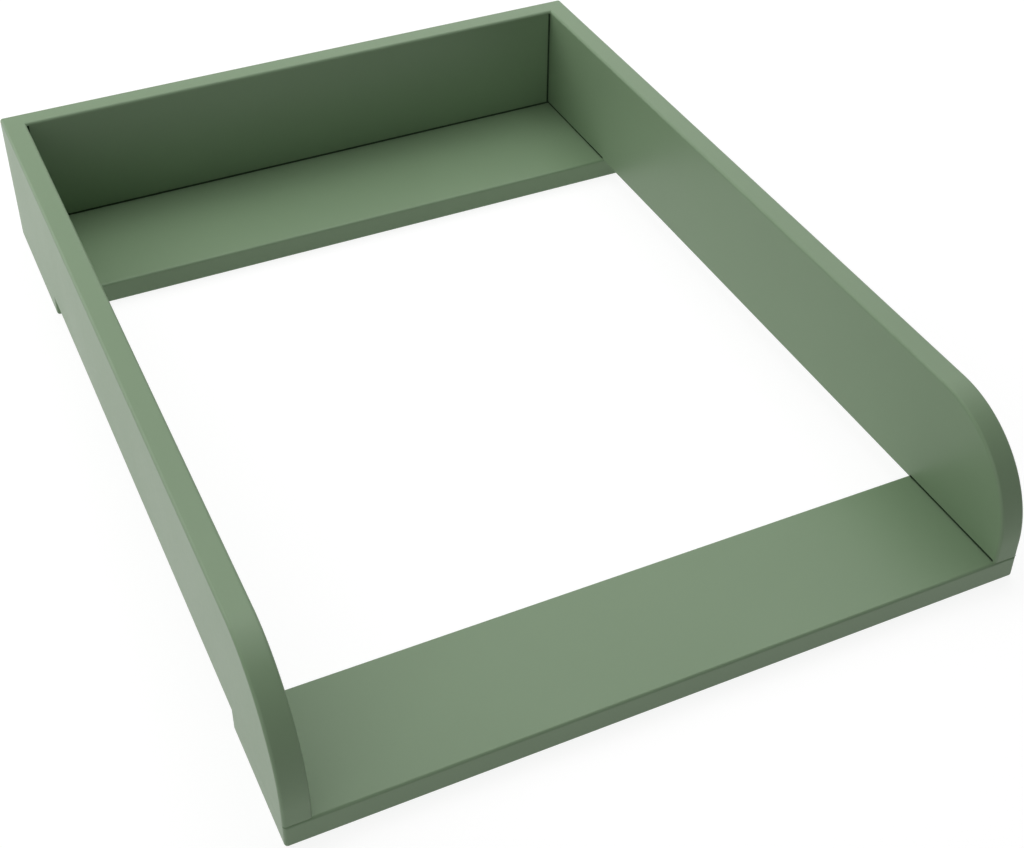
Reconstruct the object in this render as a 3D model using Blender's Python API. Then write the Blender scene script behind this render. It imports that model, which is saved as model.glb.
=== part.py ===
"""Dresser top changer: a lacquered frame that a changing mat lies in, set over the top of a dresser.

Metres, with +X to the right, +Y to the back and +Z up. The origin is the middle of the footprint,
level with the underside of the two boards.

The two side panels and the back panel make a U that is open at the front. The front board and the
rear board carry that U and hang below it, so that the dresser's top lies between them. Screws go up
through the boards, wooden dowels place the joints, and a cam fitting at each end of the back panel
draws the side panels in, so no fastener shows from above or from the sides.
"""

import math

import bmesh
import bpy
from mathutils import Vector

# What the frame is made round: the mat inside it and the dresser under it
MAT_WIDTH = 0.500
MAT_CLEARANCE = 0.001
DRESSER_DEPTH = 0.480
DRESSER_CLEARANCE = 0.001

# Panels and boards, all cut from one thickness of stock
STOCK_THICKNESS = 0.019
SIDE_HEIGHT = 0.100
FRONT_UPRIGHT = 0.015
FRONT_BOARD_DEPTH = 0.101
REAR_BOARD_DEPTH = 0.137

# Rounded edges, the fine arris where a board meets a panel, and the gap left in every joint
PANEL_EDGE_RADIUS = 0.0025
BOARD_EDGE_RADIUS = 0.002
JOINT_ARRIS = 0.0003
JOINT_GAP = 0.0003
CURVE_STEPS = 16
EDGE_STEPS = 3

# Furniture screw with a hex socket in its countersunk head
SCREW_LENGTH = 0.050
SCREW_HEAD_DIAMETER = 0.010
SCREW_HEAD_RIM = 0.0006
SCREW_HEAD_CONE = 0.0024
SCREW_SHANK_DIAMETER = 0.007
SCREW_SHANK_LENGTH = 0.015
SCREW_CORE_DIAMETER = 0.005
SCREW_THREAD_PITCH = 0.003
SCREW_TIP_DIAMETER = 0.0035
SCREW_TIP_LENGTH = 0.003
SCREW_SOCKET_WIDTH = 0.004
SCREW_SOCKET_DEPTH = 0.0028
SCREW_RECESS = 0.0003

# Fluted wooden dowel, and how much of it is in the panel that is bored in its face
DOWEL_DIAMETER = 0.008
DOWEL_LENGTH = 0.035
DOWEL_CHAMFER = 0.001
DOWEL_FLUTE_DEPTH = 0.0004
DOWEL_FLUTES = 8
DOWEL_SINK = 0.012

# Cam fitting: the turning housing in the back panel, and the bolt from the side panel
CAM_DIAMETER = 0.015
CAM_SETBACK = 0.034
CAM_FLOOR = 0.004
CAM_RECESS = 0.0003
CAM_TURN_SLOT_LENGTH = 0.009
CAM_TURN_SLOT_WIDTH = 0.0016
CAM_TURN_SLOT_DEPTH = 0.002
CAM_SWEEP = math.radians(140)
BOLT_HEAD_DIAMETER = 0.0064
BOLT_NECK_DIAMETER = 0.0036
BOLT_NECK_LENGTH = 0.006
BOLT_STEM_DIAMETER = 0.006
BOLT_CORE_DIAMETER = 0.0042
BOLT_THREAD_LENGTH = 0.011
BOLT_THREAD_PITCH = 0.0018
BOLT_CHAMFER = 0.0008

# Places of the fasteners along the boards and panels
FRONT_SCREW_INSET = 0.022
REAR_SCREW_INSET = 0.025
BACK_DOWEL_INSET = 0.018
BACK_SCREW_TO_CAM = 0.018

# Clearance round a fastener and past its end, and how far a cut runs past a face
FIT_CLEARANCE = 0.0003
END_CLEARANCE = 0.0005
OVERRUN = 0.002

# How finely round shapes are divided
FASTENER_STEPS = 12
BORE_STEPS = 16
CAM_STEPS = 24
WELD = 0.000001
SMOOTH_ANGLE = math.radians(35)
RIGHT_ANGLE = math.radians(90)

# Finishes: linear colour, roughness and metallic value
LACQUER = ((0.235, 0.319, 0.212), 0.42, 0)
ZINC_PLATE = ((0.60, 0.61, 0.62), 0.35, 1)
DIE_CAST = ((0.50, 0.50, 0.51), 0.50, 1)
BEECH = ((0.60, 0.42, 0.25), 0.70, 0)

# Worked out from the sizes above
half_inner = MAT_WIDTH / 2 + MAT_CLEARANCE
half_width = half_inner + STOCK_THICKNESS
dresser_gap = DRESSER_DEPTH + 2 * DRESSER_CLEARANCE
overall_depth = FRONT_BOARD_DEPTH + dresser_gap + REAR_BOARD_DEPTH
front_y = -overall_depth / 2
rear_y = overall_depth / 2
front_board_rear = front_y + FRONT_BOARD_DEPTH
rear_board_front = rear_y - REAR_BOARD_DEPTH
back_front = rear_y - STOCK_THICKNESS
board_top = STOCK_THICKNESS
panel_bottom = board_top + JOINT_GAP
panel_top = panel_bottom + SIDE_HEIGHT
curve_radius = SIDE_HEIGHT - FRONT_UPRIGHT
side_middle = half_inner + STOCK_THICKNESS / 2
back_middle = rear_y - STOCK_THICKNESS / 2

# The cam fitting's own sizes. A cam's face is at zero in its own frame, and its depth runs along +Z.
cam_place = half_inner - CAM_SETBACK
cam_pocket_depth = STOCK_THICKNESS - CAM_FLOOR
cam_length = cam_pocket_depth - CAM_RECESS - END_CLEARANCE
bolt_level = STOCK_THICKNESS / 2 - CAM_RECESS
bolt_length = BOLT_THREAD_LENGTH + CAM_SETBACK
chamber_radius = BOLT_HEAD_DIAMETER / 2 + FIT_CLEARANCE


# Scene, objects and materials


def clear_scene():
    for obj in list(bpy.data.objects):
        bpy.data.objects.remove(obj)


def make_material(name, finish):
    colour, roughness, metallic = finish
    material = bpy.data.materials.new(name)
    material.use_nodes = True
    surface = material.node_tree.nodes["Principled BSDF"]
    surface.inputs["Base Color"].default_value = (*colour, 1)
    surface.inputs["Roughness"].default_value = roughness
    surface.inputs["Metallic"].default_value = metallic
    material.diffuse_color = (*colour, 1)
    return material


def add_object(name, mesh, location=(0, 0, 0), rotation=(0, 0, 0)):
    obj = bpy.data.objects.new(name, mesh)
    obj.location = location
    obj.rotation_euler = rotation
    bpy.context.scene.collection.objects.link(obj)
    return obj


def add_cutter(name, mesh, location=(0, 0, 0), rotation=(0, 0, 0)):
    cutter = add_object(name, mesh, location, rotation)
    cutter.hide_render = True
    cutter.display_type = "WIRE"
    return cutter


def cut(obj, cutter):
    modifier = obj.modifiers.new("cut " + cutter.name, "BOOLEAN")
    modifier.object = cutter
    modifier.operation = "DIFFERENCE"
    modifier.solver = "EXACT"


def finish_mesh(bm, name, material):
    """A mesh with its doubles welded and its faces outwards, smooth but for its sharp edges."""
    bmesh.ops.remove_doubles(bm, verts=bm.verts, dist=WELD)
    bmesh.ops.recalc_face_normals(bm, faces=bm.faces)
    mesh = bpy.data.meshes.new(name)
    bm.to_mesh(mesh)
    bm.free()
    mesh.shade_smooth()
    mesh.set_sharp_from_angle(angle=SMOOTH_ANGLE)
    mesh.materials.append(material)
    return mesh


def applied_mesh(name, obj, helpers=()):
    """The object's mesh with its modifiers applied. The object and its helpers are then removed."""
    graph = bpy.context.evaluated_depsgraph_get()
    mesh = bpy.data.meshes.new_from_object(obj.evaluated_get(graph))
    mesh.name = name
    for done in (obj, *helpers):
        bpy.data.objects.remove(done)
    return mesh


# Rings of points round +Z, and the skins that join them


def ring(radius, height, steps, turn=0):
    angles = [turn + math.tau * step / steps for step in range(steps)]
    return [(radius * math.cos(angle), radius * math.sin(angle), height) for angle in angles]


def hexagon(width, height, steps):
    """A hexagon of this width across its flats, with as many points on it as a ring has."""
    points = []
    for step in range(steps):
        angle = math.tau * step / steps
        from_flat = angle % math.radians(60) - math.radians(30)
        radius = width / 2 / math.cos(from_flat)
        points.append((radius * math.cos(angle), radius * math.sin(angle), height))
    return points


def fluted_ring(radius, flute_depth, height, flutes):
    points = []
    for step in range(2 * flutes):
        angle = math.pi * step / flutes
        reach = radius - flute_depth * (step % 2)
        points.append((reach * math.cos(angle), reach * math.sin(angle), height))
    return points


def ball_profile(radius, first_radius, last_radius, centre, rows):
    """Radius and height pairs up a ball, from where it is first_radius wide to where it is last_radius."""
    start = math.asin(first_radius / radius)
    sweep = math.pi - start - math.asin(last_radius / radius)
    angles = [start + sweep * row / rows for row in range(rows + 1)]
    return [(radius * math.sin(angle), centre - radius * math.cos(angle)) for angle in angles]


def add_skin(bm, rings, close_first=False, close_last=False):
    rows = [[bm.verts.new(point) for point in points] for points in rings]
    for lower, upper in zip(rows, rows[1:]):
        for i in range(len(lower)):
            j = (i + 1) % len(lower)
            bm.faces.new((lower[i], lower[j], upper[j], upper[i]))
    if close_first:
        bm.faces.new(rows[0][::-1])
    if close_last:
        bm.faces.new(rows[-1])


def add_thread(bm, start, end, core_radius, crest_radius, pitch, steps):
    """A helical ridge on a core. It runs out at both ends into a plain ring of the core, left open."""
    last_row = math.ceil(2 * (end - start) / pitch)
    corners = {}

    def corner(row, step):
        """Even rows are the root and odd rows the crest, and a turn round the core climbs two rows."""
        if step == steps:
            return corner(row + 2, 0)
        if (row, step) not in corners:
            height = start + (row / 2 + step / steps) * pitch
            on_crest = row % 2 == 1 and start < height < end
            radius = crest_radius if on_crest else core_radius
            angle = math.tau * step / steps
            height = min(max(height, start), end)
            point = (radius * math.cos(angle), radius * math.sin(angle), height)
            corners[row, step] = bm.verts.new(point)
        return corners[row, step]

    for row in range(-2, last_row):
        for step in range(steps):
            lower = [corner(row, step), corner(row, step + 1)]
            upper = [corner(row + 1, step + 1), corner(row + 1, step)]
            bm.faces.new(lower + upper)


def turned_mesh(name, profile, steps, material):
    """A closed solid turned round +Z, from radius and height pairs, lowest first.

    Its flats face along the axes, so that where it cuts a panel no corner falls on a middle line.
    """
    bm = bmesh.new()
    rings = [ring(radius, height, steps, turn=math.pi / steps) for radius, height in profile]
    add_skin(bm, rings, close_first=True, close_last=True)
    return finish_mesh(bm, name, material)


def box_mesh(name, size, material):
    bm = bmesh.new()
    bmesh.ops.create_cube(bm, size=1)
    bmesh.ops.scale(bm, vec=size, verts=bm.verts)
    return finish_mesh(bm, name, material)


# Boards and panels


def round_edges(obj, radius_of):
    """A Bevel modifier that rounds each edge by the radius that radius_of gives for it."""
    widest = max(PANEL_EDGE_RADIUS, BOARD_EDGE_RADIUS, JOINT_ARRIS)
    bm = bmesh.new()
    bm.from_mesh(obj.data)
    weight = bm.edges.layers.float.new("bevel_weight_edge")
    for edge in bm.edges:
        edge[weight] = radius_of(edge) / widest
    bm.to_mesh(obj.data)
    bm.free()
    modifier = obj.modifiers.new("rounded edges", "BEVEL")
    modifier.limit_method = "WEIGHT"
    modifier.width = widest
    modifier.segments = EDGE_STEPS


def edge_side(edge):
    """Where an edge of a centred block lies, as a sign for each axis: (0, -1, 1) is front and top."""
    middle = (edge.verts[0].co + edge.verts[1].co) / 2
    return tuple(0 if abs(place) < WELD else int(math.copysign(1, place)) for place in middle)


def make_board(name, near, far, joints, material):
    """A board across the full width, from y near to y far. The edges named as joints stay sharp."""

    def radius_of(edge):
        side = edge_side(edge)
        if side in joints:
            return JOINT_ARRIS
        upright = side[2] == 0
        return PANEL_EDGE_RADIUS if upright else BOARD_EDGE_RADIUS

    mesh = box_mesh(name, (2 * half_width, far - near, STOCK_THICKNESS), material)
    board = add_object(name, mesh, (0, (near + far) / 2, STOCK_THICKNESS / 2))
    round_edges(board, radius_of)
    return board


def side_outline(x, rear):
    """A side panel's outline at x: up its rear end, along the top, over the front curve and down.

    Its underside comes down to the level of the boards' tops where it is free, to lie on the dresser,
    and keeps the joint gap above each board.
    """
    points = [Vector((x, rear, panel_bottom)), Vector((x, rear, panel_top))]
    centre = Vector((x, front_y + curve_radius, panel_top - curve_radius))
    for step in range(CURVE_STEPS + 1):
        angle = RIGHT_ANGLE * (1 + step / CURVE_STEPS)
        points.append(centre + curve_radius * Vector((0, math.cos(angle), math.sin(angle))))
    underside = [
        (front_y, panel_bottom),
        (front_board_rear + JOINT_GAP, panel_bottom),
        (front_board_rear + JOINT_GAP, board_top),
        (rear_board_front - JOINT_GAP, board_top),
        (rear_board_front - JOINT_GAP, panel_bottom),
    ]
    return points + [Vector((x, y, z)) for y, z in underside]


def rounded_wall_mesh(material):
    """The U of both side panels and the back panel in one, so that rounded edges meet in its corners."""
    bm = bmesh.new()
    outlines = [
        side_outline(-half_width, rear_y),
        side_outline(-half_inner, back_front),
        side_outline(half_inner, back_front),
        side_outline(half_width, rear_y),
    ]
    rows = [[bm.verts.new(point) for point in outline] for outline in outlines]
    left_out, left_in, right_in, right_out = rows
    for row in rows:
        bm.faces.new(row)
    count = len(left_out)
    mitres = []
    for outer, inner in ((left_out, left_in), (right_out, right_in)):
        for i in range(1, count):
            j = (i + 1) % count
            bm.faces.new((outer[i], outer[j], inner[j], inner[i]))
        mitres += [bm.edges.get((outer[i], inner[i])) for i in range(2)]
    for first, last in ((left_out, right_out), (left_in, right_in)):
        bm.faces.new((first[0], first[1], last[1], last[0]))
    for i in range(2):
        bm.faces.new((left_out[i], left_in[i], right_in[i], right_out[i]))
    bmesh.ops.dissolve_edges(bm, edges=mitres)
    wall = add_cutter("wall", finish_mesh(bm, "wall", material))

    def radius_of(edge):
        underneath = all(vert.co.z < panel_bottom + WELD for vert in edge.verts)
        rounded = edge.is_convex and edge.calc_face_angle() > SMOOTH_ANGLE and not underneath
        return PANEL_EDGE_RADIUS if rounded else 0

    round_edges(wall, radius_of)
    return applied_mesh("rounded_wall", wall)


def panel_of_wall(name, wall, planes, material):
    """The piece of the U that lies behind each plane, given as a point and an outward normal."""
    bm = bmesh.new()
    bm.from_mesh(wall)
    for point, normal in planes:
        geometry = [*bm.verts, *bm.edges, *bm.faces]
        bmesh.ops.bisect_plane(
            bm, geom=geometry, dist=WELD, plane_co=point, plane_no=normal, clear_outer=True
        )
        rim = [edge for edge in bm.edges if edge.is_boundary]
        bmesh.ops.holes_fill(bm, edges=rim)
    corners = [vert.co for vert in bm.verts]
    lowest = Vector([min(corner[axis] for corner in corners) for axis in range(3)])
    highest = Vector([max(corner[axis] for corner in corners) for axis in range(3)])
    centre = (lowest + highest) / 2
    bmesh.ops.translate(bm, vec=-centre, verts=bm.verts)
    return add_object(name, finish_mesh(bm, name, material), centre)


# Fasteners, each along its own +Z, and the holes that they go into


def screw_mesh(material):
    """The head's face is at zero with the hex socket in it, and the tip is at the screw's length."""
    head = SCREW_HEAD_DIAMETER / 2
    shank = SCREW_SHANK_DIAMETER / 2
    core = SCREW_CORE_DIAMETER / 2
    thread_end = SCREW_LENGTH - SCREW_TIP_LENGTH
    steps = FASTENER_STEPS
    bm = bmesh.new()
    lower = [
        hexagon(SCREW_SOCKET_WIDTH, SCREW_SOCKET_DEPTH, steps),
        hexagon(SCREW_SOCKET_WIDTH, 0, steps),
        ring(head, 0, steps),
        ring(head, SCREW_HEAD_RIM, steps),
        ring(shank, SCREW_HEAD_RIM + SCREW_HEAD_CONE, steps),
        ring(shank, SCREW_SHANK_LENGTH, steps),
        ring(core, SCREW_SHANK_LENGTH, steps),
    ]
    upper = [
        ring(core, thread_end, steps),
        ring(SCREW_TIP_DIAMETER / 2, SCREW_LENGTH, steps),
    ]
    add_skin(bm, lower, close_first=True)
    add_thread(bm, SCREW_SHANK_LENGTH, thread_end, core, shank, SCREW_THREAD_PITCH, steps)
    add_skin(bm, upper, close_last=True)
    return finish_mesh(bm, "furniture_screw", material)


def screw_bore_mesh(material):
    """A countersunk hole, from below the board to just past the screw's tip."""
    head = SCREW_HEAD_DIAMETER / 2 + FIT_CLEARANCE
    shank = SCREW_SHANK_DIAMETER / 2 + FIT_CLEARANCE
    profile = [
        (head, -SCREW_RECESS - OVERRUN),
        (head, SCREW_HEAD_RIM),
        (shank, SCREW_HEAD_RIM + SCREW_HEAD_CONE),
        (shank, SCREW_LENGTH + END_CLEARANCE),
    ]
    return turned_mesh("screw_bore", profile, BORE_STEPS, material)


def dowel_mesh(material):
    """Centred on its length, fluted, with chamfered ends."""
    half = DOWEL_LENGTH / 2
    radius = DOWEL_DIAMETER / 2
    end_radius = radius - DOWEL_CHAMFER
    rings = [
        ring(end_radius, -half, 2 * DOWEL_FLUTES),
        fluted_ring(radius, DOWEL_FLUTE_DEPTH, -half + DOWEL_CHAMFER, DOWEL_FLUTES),
        fluted_ring(radius, DOWEL_FLUTE_DEPTH, half - DOWEL_CHAMFER, DOWEL_FLUTES),
        ring(end_radius, half, 2 * DOWEL_FLUTES),
    ]
    bm = bmesh.new()
    add_skin(bm, rings, close_first=True, close_last=True)
    return finish_mesh(bm, "dowel", material)


def dowel_bore_mesh(material):
    half = DOWEL_LENGTH / 2 + END_CLEARANCE
    radius = DOWEL_DIAMETER / 2 + FIT_CLEARANCE
    return turned_mesh("dowel_bore", [(radius, -half), (radius, half)], BORE_STEPS, material)


def bolt_mesh(material):
    """The thread starts at zero, in the side panel, and the ball's centre is at the bolt's length."""
    core = BOLT_CORE_DIAMETER / 2
    stem = BOLT_STEM_DIAMETER / 2
    neck = BOLT_NECK_DIAMETER / 2
    head = BOLT_HEAD_DIAMETER / 2
    neck_start = bolt_length - head - BOLT_NECK_LENGTH
    steps = FASTENER_STEPS
    lower = [
        ring(core - BOLT_CHAMFER, 0, steps),
        ring(core, BOLT_CHAMFER, steps),
    ]
    upper = [
        ring(core, BOLT_THREAD_LENGTH, steps),
        ring(stem, BOLT_THREAD_LENGTH, steps),
        ring(stem, neck_start, steps),
        ring(neck, neck_start + BOLT_CHAMFER, steps),
    ]
    ball = ball_profile(head, neck, neck / 2, bolt_length, steps // 2)
    upper += [ring(radius, height, steps) for radius, height in ball]
    bm = bmesh.new()
    add_skin(bm, lower, close_first=True)
    add_thread(bm, BOLT_CHAMFER, BOLT_THREAD_LENGTH, core, stem, BOLT_THREAD_PITCH, steps)
    add_skin(bm, upper, close_last=True)
    return finish_mesh(bm, "cam_bolt", material)


def bolt_bore_mesh(material):
    """Close to the thread in the side panel, and wide enough for the ball on to the cam's middle."""
    tight = BOLT_STEM_DIAMETER / 2 + FIT_CLEARANCE
    step_height = BOLT_THREAD_LENGTH + JOINT_GAP / 2
    profile = [
        (tight, -END_CLEARANCE),
        (tight, step_height),
        (chamber_radius, step_height),
        (chamber_radius, bolt_length + chamber_radius),
    ]
    return turned_mesh("bolt_bore", profile, BORE_STEPS, material)


def neck_slot_mesh(reach, height, material):
    """A flat sector that starts as a slot along +X, for the bolt's neck to pass through as a cam turns."""
    offset = height / 2
    first = -math.asin(offset / reach)
    angles = [first + (CAM_SWEEP - first) * step / CAM_STEPS for step in range(CAM_STEPS + 1)]
    outline = [(0, 0), (0, -offset)]
    outline += [(reach * math.cos(angle), reach * math.sin(angle)) for angle in angles]
    bm = bmesh.new()
    floor = bm.faces.new([bm.verts.new((x, y, -offset)) for x, y in outline])
    raised = bmesh.ops.extrude_face_region(bm, geom=[floor])["geom"]
    verts = [item for item in raised if isinstance(item, bmesh.types.BMVert)]
    bmesh.ops.translate(bm, vec=(0, 0, height), verts=verts)
    return finish_mesh(bm, "cam_neck_slot", material)


def cam_mesh(material):
    """A drum with a cross slot in its face, a chamber for the ball and a slot round to its way in."""
    radius = CAM_DIAMETER / 2
    reach = radius + OVERRUN
    slot_height = BOLT_NECK_DIAMETER + 2 * FIT_CLEARANCE
    turn_slot_size = (CAM_TURN_SLOT_LENGTH, CAM_TURN_SLOT_WIDTH, 2 * CAM_TURN_SLOT_DEPTH)
    ball = ball_profile(chamber_radius, chamber_radius / 4, chamber_radius / 4, 0, FASTENER_STEPS)
    drum_mesh = turned_mesh("cam_drum", [(radius, 0), (radius, cam_length)], CAM_STEPS, material)
    chamber = turned_mesh("cam_chamber", ball, BORE_STEPS, material)
    way_in = turned_mesh("cam_way_in", [(chamber_radius, 0), (chamber_radius, reach)], BORE_STEPS, material)
    neck_slot = neck_slot_mesh(reach, slot_height, material)
    turn_slot = box_mesh("cam_turn_slot", turn_slot_size, material)
    level = (0, 0, bolt_level)
    drum = add_cutter("cam_drum", drum_mesh)
    cutters = [
        add_cutter("cam_chamber", chamber, level),
        add_cutter("cam_way_in", way_in, level, (0, RIGHT_ANGLE, CAM_SWEEP)),
        add_cutter("cam_neck_slot", neck_slot, level),
        add_cutter("cam_turn_slot", turn_slot),
        add_cutter("cam_turn_slot_across", turn_slot, rotation=(0, 0, RIGHT_ANGLE)),
    ]
    for cutter in cutters:
        cut(drum, cutter)
    return applied_mesh("cam_lock", drum, cutters)


def cam_pocket_mesh(material):
    radius = CAM_DIAMETER / 2 + FIT_CLEARANCE
    profile = [(radius, -CAM_RECESS - OVERRUN), (radius, cam_pocket_depth - CAM_RECESS)]
    return turned_mesh("cam_pocket", profile, CAM_STEPS, material)


class Fastener:
    """A piece that is used in several places, and the hole that it goes into."""

    def __init__(self, mesh, bore):
        self.mesh = mesh
        self.bore = bore

    def fit(self, name, panels, location, rotation=(0, 0, 0)):
        add_object(name, self.mesh, location, rotation)
        bore = add_cutter(name + "_bore", self.bore, location, rotation)
        for panel in panels:
            cut(panel, bore)


# The joints. Upright dowels stand in the board's top face, and their longer part is in the panel.

dowel_height = board_top - DOWEL_SINK + DOWEL_LENGTH / 2


def join_board_to_side(label, board, panel, x, first_y, last_y, screw, dowel):
    """Two screws up through the board's end into the side panel, with a dowel halfway between."""
    screw.fit(label + "_screw_1", (board, panel), (x, first_y, SCREW_RECESS))
    screw.fit(label + "_screw_2", (board, panel), (x, last_y, SCREW_RECESS))
    dowel.fit(label + "_dowel", (board, panel), (x, (first_y + last_y) / 2, dowel_height))


def join_board_to_back(board, panel, screw, dowel):
    """Three screws up through the rear board into the back panel, with a dowel in each space."""
    outer_x = cam_place - CAM_DIAMETER / 2 - BACK_SCREW_TO_CAM
    for label, x in (("left", -outer_x), ("middle", 0), ("right", outer_x)):
        screw.fit(f"back_{label}_screw", (board, panel), (x, back_middle, SCREW_RECESS))
    for label, x in (("left", -outer_x / 2), ("right", outer_x / 2)):
        dowel.fit(f"back_{label}_dowel", (board, panel), (x, back_middle, dowel_height))


def join_back_to_side(side, sign, back, panel, dowel, cam, bolt):
    """Two dowels across the corner, and between them a cam that pulls on a bolt from the side panel."""
    dowel_x = sign * (half_inner + DOWEL_SINK - DOWEL_LENGTH / 2)
    heights = {"lower": panel_bottom + BACK_DOWEL_INSET, "upper": panel_top - BACK_DOWEL_INSET}
    for label, height in heights.items():
        name = f"corner_{side}_{label}_dowel"
        dowel.fit(name, (back, panel), (dowel_x, back_middle, height), (0, RIGHT_ANGLE, 0))
    middle = (panel_bottom + panel_top) / 2
    bolt_start = (sign * (half_inner + BOLT_THREAD_LENGTH), back_middle, middle)
    bolt.fit(f"cam_bolt_{side}", (back, panel), bolt_start, (0, -sign * RIGHT_ANGLE, 0))
    cam_face = (sign * cam_place, rear_y - CAM_RECESS, middle)
    half_turn = 0 if sign > 0 else math.pi
    cam.fit(f"cam_lock_{side}", (back,), cam_face, (RIGHT_ANGLE, half_turn, 0))


def build():
    clear_scene()
    lacquer = make_material("sage_lacquer", LACQUER)
    zinc_plate = make_material("zinc_plated_steel", ZINC_PLATE)
    die_cast = make_material("die_cast_zinc", DIE_CAST)
    beech = make_material("beech", BEECH)

    wall = rounded_wall_mesh(lacquer)
    right = (1, 0, 0)
    left = (-1, 0, 0)
    back_half = half_inner - JOINT_GAP
    back_planes = [((back_half, 0, 0), right), ((-back_half, 0, 0), left)]
    left_panel = panel_of_wall("left_side_panel", wall, [((-half_inner, 0, 0), right)], lacquer)
    right_panel = panel_of_wall("right_side_panel", wall, [((half_inner, 0, 0), left)], lacquer)
    back_panel = panel_of_wall("back_panel", wall, back_planes, lacquer)
    ends = {(-1, 0, 1), (1, 0, 1)}
    front_board = make_board("front_board", front_y, front_board_rear, ends, lacquer)
    rear_board = make_board("rear_board", rear_board_front, rear_y, ends | {(0, 1, 1)}, lacquer)

    screw = Fastener(screw_mesh(zinc_plate), screw_bore_mesh(lacquer))
    dowel = Fastener(dowel_mesh(beech), dowel_bore_mesh(lacquer))
    bolt = Fastener(bolt_mesh(zinc_plate), bolt_bore_mesh(lacquer))
    cam = Fastener(cam_mesh(die_cast), cam_pocket_mesh(lacquer))
    front_rows = (front_y + FRONT_SCREW_INSET, front_board_rear - FRONT_SCREW_INSET)
    rear_rows = (rear_board_front + REAR_SCREW_INSET, back_front - REAR_SCREW_INSET)
    for side, sign, panel in (("left", -1, left_panel), ("right", 1, right_panel)):
        x = sign * side_middle
        join_board_to_side(f"front_{side}", front_board, panel, x, *front_rows, screw, dowel)
        join_board_to_side(f"rear_{side}", rear_board, panel, x, *rear_rows, screw, dowel)
        join_back_to_side(side, sign, back_panel, panel, dowel, cam, bolt)
    join_board_to_back(rear_board, back_panel, screw, dowel)

    frame = add_object("dresser_top_changer", None)
    for obj in bpy.context.scene.collection.objects:
        if obj is not frame:
            obj.parent = frame


build()
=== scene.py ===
"""Dresser top changer, dressed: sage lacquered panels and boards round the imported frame.

Metres, with +X to the right, +Y to the back panel and +Z up, as in the frame. The side panels, the
back panel, the boards, the screws and the cam locks are modelled here. The dowels and the cam
bolts, which lie inside the joints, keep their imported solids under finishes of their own.
"""
import math

import bmesh
import bpy
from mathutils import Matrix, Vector


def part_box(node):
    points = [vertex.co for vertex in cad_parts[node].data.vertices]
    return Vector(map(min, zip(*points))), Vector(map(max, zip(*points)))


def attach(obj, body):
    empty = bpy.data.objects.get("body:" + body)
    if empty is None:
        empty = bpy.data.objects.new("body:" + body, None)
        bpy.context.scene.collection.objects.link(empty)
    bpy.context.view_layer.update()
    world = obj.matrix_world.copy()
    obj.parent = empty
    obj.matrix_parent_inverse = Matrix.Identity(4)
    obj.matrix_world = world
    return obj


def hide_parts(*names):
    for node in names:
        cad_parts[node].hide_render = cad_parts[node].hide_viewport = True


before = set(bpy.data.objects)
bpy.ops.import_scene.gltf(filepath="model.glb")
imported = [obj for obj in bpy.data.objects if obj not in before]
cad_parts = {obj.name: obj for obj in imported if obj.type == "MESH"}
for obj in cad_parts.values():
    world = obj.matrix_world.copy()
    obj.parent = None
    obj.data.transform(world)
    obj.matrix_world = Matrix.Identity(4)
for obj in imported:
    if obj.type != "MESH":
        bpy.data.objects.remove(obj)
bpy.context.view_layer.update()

# Rounded edges of the lacquered stock, the fine arris on an edge that lies in a joint, and the
# shadow gap that shows along every joint inside the frame
PANEL_EDGE_RADIUS = 0.0025
BOARD_EDGE_RADIUS = 0.002
PANEL_FOOT_RADIUS = 0.0008
JOINT_ARRIS = 0.00013
GAP_WIDTH = 0.0019
GAP_DEPTH = 0.0020
GAP_SILL = 0.0004
FRONT_UPRIGHT = 0.015
CURVE_SEGMENTS = 40
EDGE_SEGMENTS = 6

# Furniture screw with a hex socket, from its head's face
SCREW_HEAD_RADIUS = 0.005
SCREW_HEAD_CHAMFER = 0.00015
SCREW_HEAD_RIM = 0.0006
SCREW_HEAD_END = 0.003
SCREW_RADIUS = 0.0035
SCREW_TIP_RADIUS = 0.0019
SCREW_TIP_LENGTH = 0.0035
SCREW_THREAD_START = 0.015
SCREW_THREAD_DEPTH = 0.001
SCREW_PITCH = 0.003
SCREW_GROOVE_AT_CREST = 0.0026
SCREW_GROOVE_AT_ROOT = 0.0014
SOCKET_WIDTH = 0.004
SOCKET_DEPTH = 0.0028
SOCKET_POINT = 0.0006
SOCKET_POINT_SHARE = 1 / 8

# Cam lock, from its face in the back panel's outer side
CAM_CHAMFER = 0.0003
CAM_SLOT_LENGTH = 0.009
CAM_SLOT_WIDTH = 0.0016
CAM_SLOT_DEPTH = 0.002
CAM_MARK_WIDTH = 0.0022
CAM_MARK_INSET = CAM_MARK_WIDTH * 0.7
CAM_MARK_DEPTH = 0.0003
CAM_SWEEP = math.radians(140)
CAM_SWEEP_STEPS = 28

# Holes, a little wider than what goes into them
HOLE_CLEARANCE = 0.0001
HOLE_OVERRUN = 0.002
HOLE_END_SPACE = 0.0005
DOWEL_RADIUS = 0.004
BOLT_STEM_RADIUS = 0.003
BOLT_HEAD_RADIUS = 0.0032
BOLT_NECK_RADIUS = 0.0018
BOLT_CLEARANCE = 3 * HOLE_CLEARANCE
BOLT_THREAD_LENGTH = 0.011
BOLT_WAY_IN_SHARE = 0.999
CAM_POCKET_FLOOR = 0.004

# How finely round shapes are divided, and the most sides that a filled open end may have
ROUND_SIDES = 48
HOLE_SIDES = 48
HEX_SIDES = 6
POINTER_SIDES = 3
MOST_END_SIDES = 8

# How close counts as the same place, up to which angle two faces count as flat or as smooth, and
# how much of a face's normal lies along X when it faces sideways
WELD = 0.000001
SPIN_WELD = 3 * WELD
FLAT_ANGLE = math.radians(1)
SMOOTH_ANGLE = math.radians(30)
SIDEWAYS = 0.9

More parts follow.
